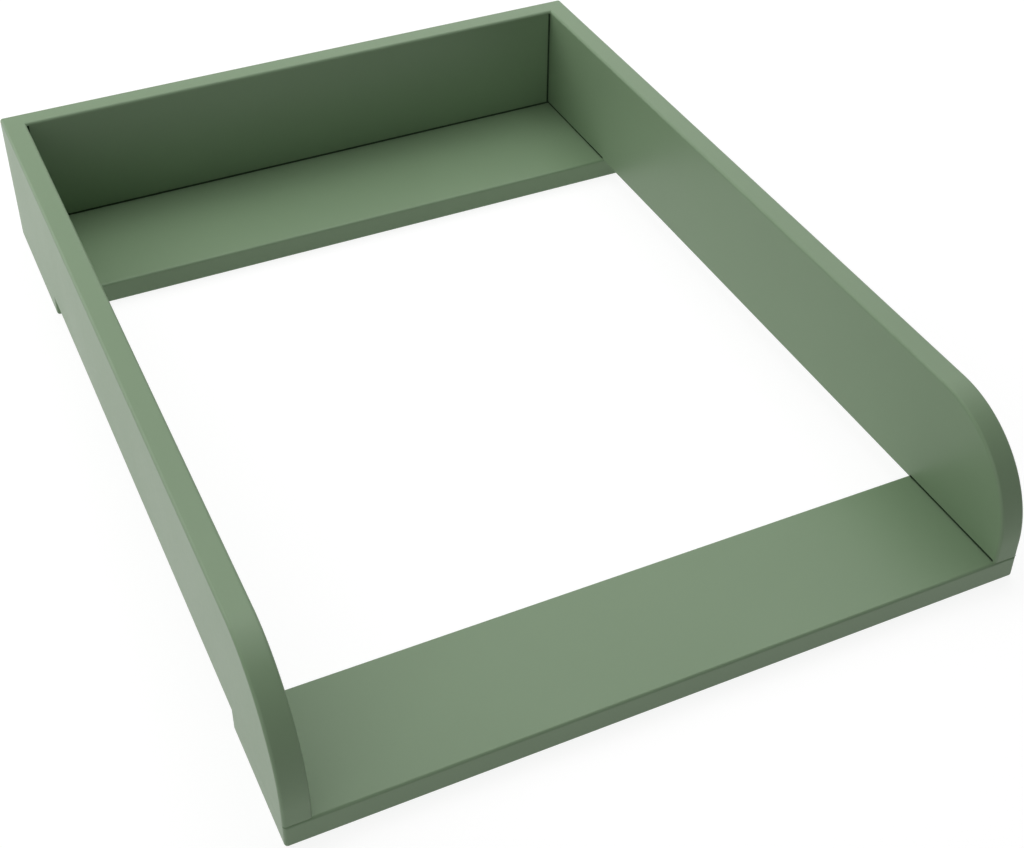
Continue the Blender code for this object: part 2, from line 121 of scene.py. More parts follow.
RIGHT_ANGLE = math.radians(90)

# Finishes, as linear colours
SAGE = (0.219, 0.319, 0.192)
# Painted shade: the dark colour on the faces inside the shadow gaps, which makes the joint lines
# darker than their own shade would
JOINT_PAINTED_SHADE = (0.06, 0.10, 0.055)
FIBREBOARD = (0.40, 0.29, 0.19)
ZINC_PLATE = (0.60, 0.61, 0.62)
DIE_CAST = (0.50, 0.50, 0.51)
BEECH = (0.60, 0.42, 0.25)
WHITE = (1, 1, 1, 1)

# Patterns of the finishes: noise scales per metre, and how much each changes colour, roughness
# and height
NOISE_RANGE = (0.25, 0.75)
EITHER_WAY = (-1, 1)
LACQUER_CLOUD_SCALE = 14
LACQUER_SPECK_SCALE = 900
LACQUER_RIPPLE_SCALE = 320
LACQUER_GRIT_SCALE = 1600
LACQUER_HANDLED_SCALE = 9
RIPPLE_HEIGHT = 0.7
GRIT_HEIGHT = 0.3
HANDLED_ROUGHNESS = (-0.02, 0.03)
RIPPLE_ROUGHNESS = (-0.015, 0.015)
METAL_PATCH_SCALE = 260
METAL_SCRATCH_SCALE = 500
METAL_SCRATCH_STRETCH = (1, 14, 14)
METAL_PIT_SCALE = 2600
PATCH_DULLNESS = 0.05
SCRATCH_TINT = (-0.03, 0.03)
SCRATCH_ROUGHNESS = (-0.04, 0.06)
SCRATCH_HEIGHT = 0.3
WOOD_FIBRE_BREAKUP = 0.6
WOOD_RAY_SHARE = 0.2
FIBRE_TINT = (-0.6, 0.6)
RAY_TINT = (-0.4, 0.4)
WOOD_ROUGHNESS_CHANGE = 0.06
FELTED = {"Contrast": 0.3, "Fibre scale": 700, "Roughness": 0.9}
BEECH_UPRIGHT = (1, 1, 0.06)
BEECH_CROSSWISE = (0.06, 1, 1)

# Camera, from a fit to the photograph's corners
CAMERA_PLACE = (-0.412164, -0.962967, 0.860186)
CAMERA_TILT = 0.6607
CAMERA_TURN = -0.4315
CAMERA_LENS = 59.083
CAMERA_SENSOR = 36
CAMERA_SHIFT = (0.020776, -0.084844)
CAMERA_NEAREST = 0.05
CAMERA_FARTHEST = 40

# Floor and lamps. A softbox has a name, a place, a width and a power
FLOOR_SIZE = 12
FLOOR_GAP = 0.0005
TABLE_COLOUR = (0.30, 0.30, 0.30)
TABLE_GLOW = 0.44
FLOOR_SHADE = (0.20, 0.20, 0.20)
FLOOR_GLOW = 0.88
SHADOW_REACH = 0.9
WHITE_FROM = 2.4
SOFTBOXES = [
    ("left_back_softbox", (-1.18, 1.18, 1.99), 2.4, 24),
    ("right_back_softbox", (1.18, 1.18, 1.99), 2.4, 17),
    ("low_left_back_softbox", (-1.70, 1.70, 0.97), 1.8, 13),
    ("low_left_front_softbox", (-1.70, -1.70, 0.97), 1.8, 9),
    ("overhead_softbox", (0.35, 0.65, 2.50), 2.4, 24),
]

# The frame's own levels and places
board_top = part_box("front_board")[1].z
panel_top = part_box("left_side_panel")[1].z
half_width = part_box("right_side_panel")[1].x
half_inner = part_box("right_side_panel")[0].x
front_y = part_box("front_board")[0].y
rear_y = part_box("rear_board")[1].y
back_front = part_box("back_panel")[0].y
curve_radius = panel_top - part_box("left_side_panel")[0].z - FRONT_UPRIGHT


# Selecting and editing


def only(obj):
    """Deselects everything else, and makes the object the active one."""
    bpy.ops.object.select_all(action="DESELECT")
    obj.select_set(True)
    bpy.context.view_layer.objects.active = obj


def start_edit(obj):
    only(obj)
    bpy.ops.object.mode_set(mode="EDIT")
    bpy.ops.mesh.select_all(action="SELECT")


def end_edit():
    """Turns every face outwards and leaves edit mode."""
    bpy.ops.mesh.select_mode(type="FACE")
    bpy.ops.mesh.select_all(action="SELECT")
    bpy.ops.mesh.normals_make_consistent(inside=False)
    bpy.ops.object.mode_set(mode="OBJECT")


def pick(obj, kind, wanted):
    """In edit mode, selects the edges or faces that wanted says yes to, and nothing else."""
    bpy.ops.mesh.select_mode(type=kind)
    bpy.ops.mesh.select_all(action="DESELECT")
    shape = bmesh.from_edit_mesh(obj.data)
    for item in shape.edges if kind == "EDGE" else shape.faces:
        if wanted(item):
            item.select_set(True)
    bmesh.update_edit_mesh(obj.data)


def middle(item):
    """The middle of an edge or a face."""
    return sum((vert.co for vert in item.verts), Vector()) / len(item.verts)


def near(value, target):
    return abs(value - target) < WELD


# Blocks, discs and turned solids


def take_new(name):
    """Names the object that was just added, and puts its place into its mesh."""
    obj = bpy.context.object
    obj.name = name
    obj.data.name = name
    bpy.ops.object.transform_apply(location=True, rotation=True, scale=True)
    return obj


def add_block(name, low, high):
    low, high = Vector(low), Vector(high)
    bpy.ops.object.select_all(action="DESELECT")
    bpy.ops.mesh.primitive_cube_add(size=1, location=(low + high) / 2)
    bpy.context.object.scale = high - low
    return take_new(name)


def add_turned(name, profile, sides):
    """A solid round the Z axis.

    It is a disc, extruded and resized from one radius and height to the next.
    """
    radius, height = profile[0]
    bpy.ops.object.select_all(action="DESELECT")
    bpy.ops.mesh.primitive_circle_add(
        vertices=sides, radius=radius, fill_type="NGON", location=(0, 0, height),
        rotation=(0, 0, math.pi / sides),
    )
    solid = take_new(name)
    start_edit(solid)
    for next_radius, next_height in profile[1:]:
        rise = (0, 0, next_height - height)
        size = next_radius / radius
        bpy.ops.mesh.extrude_region_move(TRANSFORM_OT_translate={"value": rise})
        bpy.ops.transform.resize(value=(size, size, 1), center_override=(0, 0, next_height))
        radius, height = next_radius, next_height
    end_edit()
    return solid


def place(obj, location, turn=(0, 0, 0)):
    """Turns and moves an object, and puts its place into its mesh."""
    only(obj)
    obj.rotation_euler = turn
    obj.location = location
    bpy.ops.object.transform_apply(location=True, rotation=True, scale=True)
    return obj


def copy_of(obj, name):
    twin = obj.copy()
    twin.data = obj.data.copy()
    twin.name = name
    twin.data.name = name
    bpy.context.scene.collection.objects.link(twin)
    return twin


def join(objects):
    """One object of several, named as the first."""
    only(objects[0])
    for obj in objects[1:]:
        obj.select_set(True)
    if len(objects) > 1:
        bpy.ops.object.join()
    return objects[0]


def apply_modifier(obj, kind, **settings):
    only(obj)
    modifier = obj.modifiers.new(kind.lower(), kind)
    for name, value in settings.items():
        setattr(modifier, name, value)
    bpy.ops.object.modifier_apply(modifier=modifier.name)


def carve(obj, tool):
    """Cuts the tool out of the object. Cut faces get the tool's material."""
    apply_modifier(
        obj, "BOOLEAN", object=tool, operation="DIFFERENCE", solver="MANIFOLD",
        material_mode="TRANSFER",
    )
    bpy.data.objects.remove(tool)


def round_edges(obj, radius_of):
    """Rounds each edge by the radius that radius_of gives for it."""
    widest = max(PANEL_EDGE_RADIUS, BOARD_EDGE_RADIUS)
    shape = bmesh.new()
    shape.from_mesh(obj.data)
    weight = shape.edges.layers.float.new("bevel_weight_edge")
    for edge in shape.edges:
        edge[weight] = radius_of(edge) / widest
    shape.to_mesh(obj.data)
    shape.free()
    apply_modifier(
        obj, "BEVEL", limit_method="WEIGHT", width=widest, segments=EDGE_SEGMENTS,
        use_clamp_overlap=False,
    )


def finish_shading(obj):
    """Smooth over the rounded edges and flat on the flats."""
    only(obj)
    bpy.ops.object.shade_smooth_by_angle(angle=SMOOTH_ANGLE)
    apply_modifier(obj, "WEIGHTED_NORMAL", keep_sharp=True)


# Panels and boards


def add_wall():
    """The U of the side panels and the back panel: drawn flat, raised, and rounded at the front."""
    bpy.ops.object.select_all(action="DESELECT")
    bpy.ops.mesh.primitive_plane_add(size=1, location=(0, (front_y + rear_y) / 2, board_top))
    bpy.context.object.scale = (2 * half_width, rear_y - front_y, 1)
    wall = take_new("wall")
    start_edit(wall)
    cuts = [
        ((-half_inner, 0, 0), (1, 0, 0)),
        ((half_inner, 0, 0), (1, 0, 0)),
        ((0, back_front, 0), (0, 1, 0)),
    ]
    for point, across in cuts:
        bpy.ops.mesh.select_all(action="SELECT")
        bpy.ops.mesh.bisect(plane_co=point, plane_no=across, threshold=WELD)
    pick(
        wall, "FACE",
        lambda face: abs(middle(face).x) < half_inner and middle(face).y < back_front,
    )
    bpy.ops.mesh.delete(type="FACE")
    bpy.ops.mesh.select_all(action="SELECT")
    bpy.ops.mesh.extrude_region_move(
        TRANSFORM_OT_translate={"value": (0, 0, panel_top - board_top)}
    )
    bpy.ops.mesh.select_all(action="SELECT")
    bpy.ops.mesh.dissolve_limited(angle_limit=FLAT_ANGLE)
    pick(
        wall, "EDGE",
        lambda edge: near(middle(edge).y, front_y) and near(middle(edge).z, panel_top),
    )
    bpy.ops.mesh.bevel(offset=curve_radius, segments=CURVE_SEGMENTS, affect="EDGES")
    end_edit()

    def radius_of(edge):
        where = middle(edge)
        if not edge.is_convex or edge.calc_face_angle() < SMOOTH_ANGLE:
            return 0
        if not near(where.z, board_top):
            return PANEL_EDGE_RADIUS
        return PANEL_FOOT_RADIUS if near(where.y, front_y) else JOINT_ARRIS

    round_edges(wall, radius_of)
    return wall


def side_of_wall(wall, name, way):
    """The wall's left or right side panel. The hole that the back panel leaves in it is filled."""
    panel = copy_of(wall, name)
    start_edit(panel)
    bpy.ops.mesh.bisect(
        plane_co=(way * half_inner, 0, 0), plane_no=(-way, 0, 0),
        clear_outer=True, threshold=WELD,
    )
    pick(panel, "EDGE", lambda edge: edge.is_boundary)
    bpy.ops.mesh.edge_face_add()
    end_edit()
    return panel


def back_of_wall(wall, name):
    """The wall's back panel, between the side panels.

    The side panels' inner faces lie in the planes of its two cuts, and go first.
    """
    panel = copy_of(wall, name)
    start_edit(panel)
    pick(
        panel, "FACE",
        lambda face: near(abs(middle(face).x), half_inner) and abs(face.normal.x) > SIDEWAYS,
    )
    bpy.ops.mesh.delete(type="FACE")
    for way in (-1, 1):
        bpy.ops.mesh.select_all(action="SELECT")
        bpy.ops.mesh.bisect(
            plane_co=(way * half_inner, 0, 0), plane_no=(way, 0, 0),
            clear_outer=True, threshold=WELD,
        )
    pick(panel, "EDGE", lambda edge: middle(edge).y < back_front - WELD)
    bpy.ops.mesh.delete(type="EDGE")
    for way in (-1, 1):
        end = way * half_inner
        pick(panel, "EDGE", lambda edge: edge.is_boundary and near(middle(edge).x, end))
        bpy.ops.mesh.edge_face_add()
    end_edit()
    return panel


def open_joints(panels):
    """Cuts the shadow gaps inside the frame: under the panels' feet, and up the back panel's ends.

    A gap is cut out of the panel that ends there, and a little out of the one that it stands
    against. Its cut faces carry a dark painted shade.
    """
    foot = board_top - HOLE_OVERRUN, board_top + GAP_WIDTH
    sill = board_top - GAP_SILL, board_top + HOLE_OVERRUN
    upright = board_top - GAP_SILL, panel_top - PANEL_EDGE_RADIUS
    behind = back_front - HOLE_OVERRUN, back_front + GAP_DEPTH
    along_front = front_y + PANEL_EDGE_RADIUS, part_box("front_board")[1].y - BOARD_EDGE_RADIUS
    along_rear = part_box("rear_board")[0].y + BOARD_EDGE_RADIUS, back_front + GAP_DEPTH
    reach = half_inner + GAP_DEPTH
    mouth = half_inner - HOLE_OVERRUN, reach
    under = half_inner, reach
    back_end = half_inner - GAP_WIDTH, half_inner + HOLE_OVERRUN
    beside = half_inner - HOLE_OVERRUN, half_inner + GAP_SILL
    in_back = back_front, back_front + GAP_DEPTH
    for side, way in (("left_side_panel", -1), ("right_side_panel", 1)):
        cuts = [
            (side, mouth, along_front, foot),
            ("front_board", under, along_front, sill),
            (side, mouth, along_rear, foot),
            ("rear_board", under, along_rear, sill),
            ("back_panel", back_end, behind, upright),
            (side, beside, in_back, upright),
        ]
        for panel, xs, ys, zs in cuts:
            cut_gap(panels[panel], sorted(way * x for x in xs), ys, zs)
    cut_gap(panels["back_panel"], (-reach, reach), behind, foot)
    cut_gap(panels["rear_board"], (-half_inner, half_inner), in_back, sill)


def cut_gap(panel, xs, ys, zs):
    low, high = zip(xs, ys, zs)
    gap = add_block("gap", low, high)
    # The gap's cut faces take the dark painted shade colour
    gap.data.materials.append(painted_joint_shade)
    carve(panel, gap)


def add_board(name, sharp_rear_top):
    """A board across the full width. Its top edges stay sharp where a panel runs into them."""
    low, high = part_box(name)
    board = add_block("shown_" + name, low, high)

    def radius_of(edge):
        where = middle(edge)
        if low.z + WELD < where.z < high.z - WELD:
            return PANEL_EDGE_RADIUS
        at_end = near(abs(where.x), half_width)
        meets_back = sharp_rear_top and near(where.y, high.y)
        if near(where.z, high.z) and (at_end or meets_back):
            return JOINT_ARRIS
        return BOARD_EDGE_RADIUS

    round_edges(board, radius_of)
    return board


# Screws and cam locks, along +Z with their faces at zero


def add_screw():
    """Turned blank with a countersunk head, a threaded shank and a hex socket."""
    screw = add_turned(
        "screw",
        [
            (SCREW_HEAD_RADIUS - SCREW_HEAD_CHAMFER, 0),
            (SCREW_HEAD_RADIUS, SCREW_HEAD_CHAMFER),
            (SCREW_HEAD_RADIUS, SCREW_HEAD_RIM),
            (SCREW_RADIUS, SCREW_HEAD_END),
            (SCREW_RADIUS, screw_length - SCREW_TIP_LENGTH),
            (SCREW_TIP_RADIUS, screw_length),
        ],
        ROUND_SIDES,
    )
    carve(screw, thread_groove())
    carve(screw, hex_socket())
    return screw


def thread_groove():
    """The helix that is cut out of the shank: its cross-section, wound by a screw modifier."""
    root = SCREW_RADIUS - SCREW_THREAD_DEPTH
    outside = SCREW_RADIUS + SCREW_THREAD_DEPTH / 2
    flare = (SCREW_GROOVE_AT_CREST - SCREW_GROOVE_AT_ROOT) / 2 / SCREW_THREAD_DEPTH
    at_root = SCREW_GROOVE_AT_ROOT / 2
    at_outside = at_root + flare * (outside - root)
    bpy.ops.object.select_all(action="DESELECT")
    bpy.ops.mesh.primitive_plane_add(size=1, rotation=(RIGHT_ANGLE, 0, 0))
    groove = take_new("thread_groove")
    start_edit(groove)
    bpy.ops.transform.resize(value=(outside - root, 1, 2 * at_root), center_override=(0, 0, 0))
    bpy.ops.transform.translate(value=((outside + root) / 2, 0, 0))
    pick(groove, "EDGE", lambda edge: all(vert.co.x > SCREW_RADIUS for vert in edge.verts))
    bpy.ops.transform.resize(value=(1, 1, at_outside / at_root), center_override=(0, 0, 0))
    bpy.ops.mesh.select_all(action="SELECT")
    bpy.ops.transform.translate(value=(0, 0, SCREW_THREAD_START + at_outside))
    bpy.ops.mesh.delete(type="ONLY_FACE")
    bpy.ops.object.mode_set(mode="OBJECT")
    turns = math.ceil((screw_length - SCREW_THREAD_START) / SCREW_PITCH)
    apply_modifier(
        groove, "SCREW", axis="Z", screw_offset=SCREW_PITCH, angle=math.tau, iterations=turns,
        steps=ROUND_SIDES, render_steps=ROUND_SIDES,
    )
    start_edit(groove)
    bpy.ops.mesh.remove_doubles(threshold=WELD)
    bpy.ops.mesh.fill_holes(sides=MOST_END_SIDES)
    end_edit()
    return groove


def hex_socket():
    """Six-sided, with the shallow point that a drill leaves at its bottom."""
    corner_radius = SOCKET_WIDTH / math.cos(math.pi / HEX_SIDES) / 2
    return add_turned(
        "socket",
        [
            (corner_radius, -SOCKET_DEPTH),
            (corner_radius, SOCKET_DEPTH),
            (corner_radius * SOCKET_POINT_SHARE, SOCKET_DEPTH + SOCKET_POINT),
        ],
        HEX_SIDES,
    )


def add_cam():
    """Drum with a chamfered rim, a cross slot, a mark that points to the bolt, and its chamber."""
    drum = add_turned(
        "cam",
        [
            (cam_radius - CAM_CHAMFER, 0),
            (cam_radius, CAM_CHAMFER),
            (cam_radius, cam_length - CAM_CHAMFER),
            (cam_radius - CAM_CHAMFER, cam_length),
        ],
        ROUND_SIDES,
    )
    half_long, half_wide = CAM_SLOT_LENGTH / 2, CAM_SLOT_WIDTH / 2
    for reach_x, reach_y in ((half_long, half_wide), (half_wide, half_long)):
        low, high = (-reach_x, -reach_y, -CAM_SLOT_DEPTH), (reach_x, reach_y, CAM_SLOT_DEPTH)
        carve(drum, add_block("slot", low, high))
    mark_radius = CAM_MARK_WIDTH / 2
    mark_profile = [(mark_radius, -CAM_MARK_DEPTH), (mark_radius, CAM_MARK_DEPTH)]
    mark = add_turned("mark", mark_profile, POINTER_SIDES)
    carve(drum, place(mark, (cam_radius - CAM_MARK_INSET, 0, 0), (0, 0, -RIGHT_ANGLE)))
    carve_chamber(drum)
    return drum


def carve_chamber(drum):
    """The room for the bolt's ball, its way in from the side, and the slot for the bolt's neck."""
    level = (0, 0, bolt_level)
    room = BOLT_HEAD_RADIUS + BOLT_CLEARANCE
    bpy.ops.object.select_all(action="DESELECT")
    bpy.ops.mesh.primitive_uv_sphere_add(
        segments=ROUND_SIDES, ring_count=ROUND_SIDES // 2, radius=room, location=level
    )
    carve(drum, take_new("chamber"))
    way_in_radius = room * BOLT_WAY_IN_SHARE
    way_in_profile = [(way_in_radius, 0), (way_in_radius, 2 * cam_radius)]
    way_in = add_turned("way_in", way_in_profile, ROUND_SIDES)
    carve(drum, place(way_in, level, (0, RIGHT_ANGLE, CAM_SWEEP)))

    half_slot = BOLT_NECK_RADIUS + BOLT_CLEARANCE
    reach = cam_radius + HOLE_OVERRUN
    bpy.ops.object.select_all(action="DESELECT")
    bpy.ops.mesh.primitive_plane_add(size=1, rotation=(RIGHT_ANGLE, 0, 0))
    bpy.context.object.scale = (reach, 2 * half_slot, 1)
    bpy.context.object.location = (reach / 2 + WELD, 0, 0)
    sweep = take_new("neck_slot")
    start_edit(sweep)
    bpy.ops.mesh.spin(
        steps=CAM_SWEEP_STEPS, angle=-CAM_SWEEP, center=(0, 0, 0), axis=(0, 0, 1)
    )
    bpy.ops.mesh.select_all(action="SELECT")
    bpy.ops.mesh.remove_doubles(threshold=SPIN_WELD)
    end_edit()
    carve(drum, place(sweep, level))


# Holes for the fasteners, which are cut in the panels and boards where the fasteners are


def screw_hole():
    head = SCREW_HEAD_RADIUS + HOLE_CLEARANCE
    shank = SCREW_RADIUS + HOLE_CLEARANCE
    return add_turned(
        "screw_hole",
        [
            (head, -HOLE_OVERRUN),
            (head, SCREW_HEAD_RIM),
            (shank, SCREW_HEAD_END),
            (shank, screw_length + HOLE_END_SPACE),
        ],
        HOLE_SIDES,
    )


def dowel_hole():
    radius = DOWEL_RADIUS + HOLE_CLEARANCE
    half = dowel_length / 2 + HOLE_END_SPACE
    return add_turned("dowel_hole", [(radius, -half), (radius, half)], HOLE_SIDES)


def bolt_hole():
    """In the side panel, tight round the bolt's thread."""
    radius = BOLT_STEM_RADIUS + HOLE_CLEARANCE
    profile = [(radius, -HOLE_END_SPACE), (radius, BOLT_THREAD_LENGTH + HOLE_OVERRUN)]
    return add_turned("bolt_hole", profile, HOLE_SIDES)


def ball_hole():
    """In the back panel, wide enough for the bolt's ball, as far as the cam's middle."""
    radius = BOLT_HEAD_RADIUS + BOLT_CLEARANCE
    profile = [(radius, BOLT_THREAD_LENGTH - HOLE_OVERRUN), (radius, bolt_length)]
    return add_turned("ball_hole", profile, HOLE_SIDES)


def cam_hole():
    radius = cam_radius + HOLE_CLEARANCE
    depth = rear_y - back_front - CAM_POCKET_FLOOR
    return add_turned("cam_hole", [(radius, -HOLE_OVERRUN), (radius, depth)], HOLE_SIDES)


def bore(panel, holes, material):
    """Cuts a panel's holes, one kind at a time. A hole is a hole shape, a place and a turn."""
    kinds = {shape.name: shape for shape, where, turn in holes}
    for kind in kinds.values():
        places = [(where, turn) for shape, where, turn in holes if shape == kind]
        tool = join([place(copy_of(kind, "hole"), where, turn) for where, turn in places])
        tool.data.materials.append(material)
        carve(panel, tool)


# Where the fasteners are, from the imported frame


def centre(node):
    low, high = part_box(node)
    return (low + high) / 2


def screw_face(node):
    """The middle of the screw head's face, at the foot of its box."""
    where = centre(node)
    where.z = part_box(node)[0].z
    return where


def cam_face(node):
    """The middle of the cam lock's face, at the rear of its box."""
    where = centre(node)
    where.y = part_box(node)[1].y
    return where


def length_of(node):
    low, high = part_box(node)
    return max(high - low)


def nodes_named(start, end=""):
    return [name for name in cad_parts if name.startswith(start) and name.endswith(end)]


screw_nodes = [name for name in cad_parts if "screw" in name]
cam_nodes = nodes_named("cam_lock")
bolt_nodes = nodes_named("cam_bolt")
dowel_nodes = nodes_named("", "dowel")
corner_dowel_nodes = nodes_named("corner")
screw_length = length_of("back_middle_screw")
dowel_length = length_of("front_left_dowel")
bolt_length = length_of("cam_bolt_left")
cam_low, cam_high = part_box("cam_lock_left")
cam_radius = (cam_high.z - cam_low.z) / 2
cam_length = cam_high.y - cam_low.y
bolt_level = cam_high.y - centre("cam_bolt_left").y


# Materials


def add_node(tree, kind, sockets=None, **settings):
    """A new node. Each socket is given a value, or another node's output to be joined to."""
    node = tree.nodes.new(kind)
    for name, value in settings.items():
        setattr(node, name, value)
    for key, value in (sockets or {}).items():
        if isinstance(value, bpy.types.NodeSocket):
            tree.links.new(value, node.inputs[key])
        else:
            node.inputs[key].default_value = value
    return node


def add_group(name, inputs, outputs):
    """An empty node group, its input node and its output node. Inputs come with default values."""
    group = bpy.data.node_groups.new(name, "ShaderNodeTree")
    for label, kind, default in inputs:
        group.interface.new_socket(label, in_out="INPUT", socket_type=kind).default_value = default
    for label, kind in outputs:
        group.interface.new_socket(label, in_out="OUTPUT", socket_type=kind)
    return group, group.nodes.new("NodeGroupInput"), group.nodes.new("NodeGroupOutput")


VALUE, COLOUR, VECTOR = "NodeSocketFloat", "NodeSocketColor", "NodeSocketVector"
FINISH_OUTPUTS = [("Colour", COLOUR), ("Roughness", VALUE), ("Height", VALUE)]


def noise(tree, vector, scale, detail=2.0, roughness=0.5):
    sockets = {"Vector": vector, "Scale": scale, "Detail": detail, "Roughness": roughness}
    return add_node(tree, "ShaderNodeTexNoise", sockets).outputs["Fac"]


def spread(tree, value, low, high):
    """A noise value, stretched to run from low to high."""
    lowest, highest = NOISE_RANGE
    sockets = {
        "Value": value, "From Min": lowest, "From Max": highest, "To Min": low, "To Max": high,
    }
    return add_node(tree, "ShaderNodeMapRange", sockets).outputs["Result"]


def maths(tree, operation, first, second):
    node = add_node(tree, "ShaderNodeMath", {0: first, 1: second}, operation=operation)
    return node.outputs["Value"]


def tint(tree, colour, factor):
    """The colour times a factor that changes over the surface."""
    sockets = {0: colour, "Scale": factor}
    return add_node(tree, "ShaderNodeVectorMath", sockets, operation="SCALE").outputs["Vector"]


def opaque(colour):
    return (*colour, 1)


def lacquer_group():
    """Sprayed lacquer: faint clouds of colour, fine specks, and the low ripple of the dry film."""
    inputs = [
        ("Place", VECTOR, (0, 0, 0)),
        ("Colour", COLOUR, opaque(SAGE)),
        ("Clouding", VALUE, 0.012),
        ("Specks", VALUE, 0.006),
        ("Roughness", VALUE, 0.38),
    ]
    group, given, result = add_group("lacquer_film", inputs, FINISH_OUTPUTS)
    where = given.outputs["Place"]
    clouds = spread(group, noise(group, where, LACQUER_CLOUD_SCALE), *EITHER_WAY)
    clouds = maths(group, "MULTIPLY", clouds, given.outputs["Clouding"])
    specks = spread(group, noise(group, where, LACQUER_SPECK_SCALE), *EITHER_WAY)
    specks = maths(group, "MULTIPLY", specks, given.outputs["Specks"])
    factor = maths(group, "ADD", 1, maths(group, "ADD", clouds, specks))
    ripple = noise(group, where, LACQUER_RIPPLE_SCALE, detail=1)
    grit = noise(group, where, LACQUER_GRIT_SCALE, detail=0)
    low_ripple = maths(group, "MULTIPLY", ripple, RIPPLE_HEIGHT)
    fine_grit = maths(group, "MULTIPLY", grit, GRIT_HEIGHT)
    height = maths(group, "ADD", low_ripple, fine_grit)
    handled = noise(group, where, LACQUER_HANDLED_SCALE, detail=4)
    handled = spread(group, handled, *HANDLED_ROUGHNESS)
    film = maths(group, "ADD", handled, spread(group, ripple, *RIPPLE_ROUGHNESS))
    links = group.links
    links.new(tint(group, given.outputs["Colour"], factor), result.inputs["Colour"])
    links.new(maths(group, "ADD", given.outputs["Roughness"], film), result.inputs["Roughness"])
    links.new(height, result.inputs["Height"])
    return group


def metal_group():
    """Worked metal: dull patches, pits, and fine scratches that run across the piece."""
    inputs = [
        ("Place", VECTOR, (0, 0, 0)),
        ("Colour", COLOUR, opaque(ZINC_PLATE)),
        ("Pitting", VALUE, 0.3),
        ("Roughness", VALUE, 0.35),
    ]
    group, given, result = add_group("worked_metal", inputs, FINISH_OUTPUTS)
    where = given.outputs["Place"]
    patches = spread(group, noise(group, where, METAL_PATCH_SCALE, detail=3), *EITHER_WAY)
    dull = maths(group, "MULTIPLY", patches, PATCH_DULLNESS)
    stretch = {"Vector": where, "Scale": METAL_SCRATCH_STRETCH}
    stretched = add_node(group, "ShaderNodeMapping", stretch).outputs["Vector"]
    scratches = noise(group, stretched, METAL_SCRATCH_SCALE, detail=3)
    pits = noise(group, where, METAL_PIT_SCALE, detail=2)
    worn = maths(group, "ADD", dull, spread(group, scratches, *SCRATCH_TINT))
    factor = maths(group, "ADD", 1, worn)
    film = maths(group, "ADD", dull, spread(group, scratches, *SCRATCH_ROUGHNESS))
    rough = maths(group, "ADD", given.outputs["Roughness"], film)
    pitted = maths(group, "MULTIPLY", pits, given.outputs["Pitting"])
    height = maths(group, "ADD", pitted, maths(group, "MULTIPLY", scratches, SCRATCH_HEIGHT))
    links = group.links
    links.new(tint(group, given.outputs["Colour"], factor), result.inputs["Colour"])
    links.new(rough, result.inputs["Roughness"])
    links.new(height, result.inputs["Height"])
    return group


def wood_group():
    """Fibres drawn out along Z, for solid wood, or felted when they are hardly drawn out."""
    inputs = [
        ("Place", VECTOR, (0, 0, 0)),
        ("Colour", COLOUR, opaque(BEECH)),
        ("Contrast", VALUE, 0.15),
        ("Fibre scale", VALUE, 900),
        ("Roughness", VALUE, 0.7),
    ]
    group, given, result = add_group("wood_fibre", inputs, FINISH_OUTPUTS)
    where = given.outputs["Place"]
    fibre_scale = given.outputs["Fibre scale"]
    fibres = noise(group, where, fibre_scale, detail=4, roughness=WOOD_FIBRE_BREAKUP)
    rays = noise(group, where, maths(group, "MULTIPLY", fibre_scale, WOOD_RAY_SHARE), detail=2)
    both = maths(group, "ADD", spread(group, fibres, *FIBRE_TINT), spread(group, rays, *RAY_TINT))
    factor = maths(group, "ADD", 1, maths(group, "MULTIPLY", both, given.outputs["Contrast"]))
    uneven = maths(group, "MULTIPLY", both, WOOD_ROUGHNESS_CHANGE)
    rough = maths(group, "ADD", given.outputs["Roughness"], uneven)
    links = group.links
    links.new(tint(group, given.outputs["Colour"], factor), result.inputs["Colour"])
    links.new(rough, result.inputs["Roughness"])
    links.new(fibres, result.inputs["Height"])
    return group


def add_finish(name, group, values, bump_strength, bump_distance, stretch=None, **constants):
    """A material whose shader is fed by a group. Constants are set on the shader's own sockets.

    A stretch draws the pattern out along the axes where it is less than one.
    """
    material = bpy.data.materials.new(name)
    material.use_nodes = True
    tree = material.node_tree
    shader = tree.nodes["Principled BSDF"]
    where = add_node(tree, "ShaderNodeTexCoord").outputs["Object"]
    if stretch:
        sockets = {"Vector": where, "Scale": stretch}
        where = add_node(tree, "ShaderNodeMapping", sockets).outputs["Vector"]
    film = add_node(tree, "ShaderNodeGroup", node_tree=group)
    tree.links.new(where, film.inputs["Place"])
    for label, value in values.items():
        film.inputs[label].default_value = value
    bump = add_node(
        tree, "ShaderNodeBump",
        {"Strength": bump_strength, "Distance": bump_distance, "Height": film.outputs["Height"]},
    )
    tree.links.new(film.outputs["Colour"], shader.inputs["Base Color"])
    tree.links.new(film.outputs["Roughness"], shader.inputs["Roughness"])
    tree.links.new(bump.outputs["Normal"], shader.inputs["Normal"])
    for label, value in constants.items():
        shader.inputs[label.replace("_", " ")].default_value = value
    return material


lacquer_film = lacquer_group()
worked_metal = metal_group()
wood_fibre = wood_group()
sage_lacquer = add_finish(
    "sprayed_sage_lacquer", lacquer_film, {"Colour": opaque(SAGE), "Roughness": 0.38},
    bump_strength=0.12, bump_distance=0.00006, Specular_IOR_Level=0.28,
)
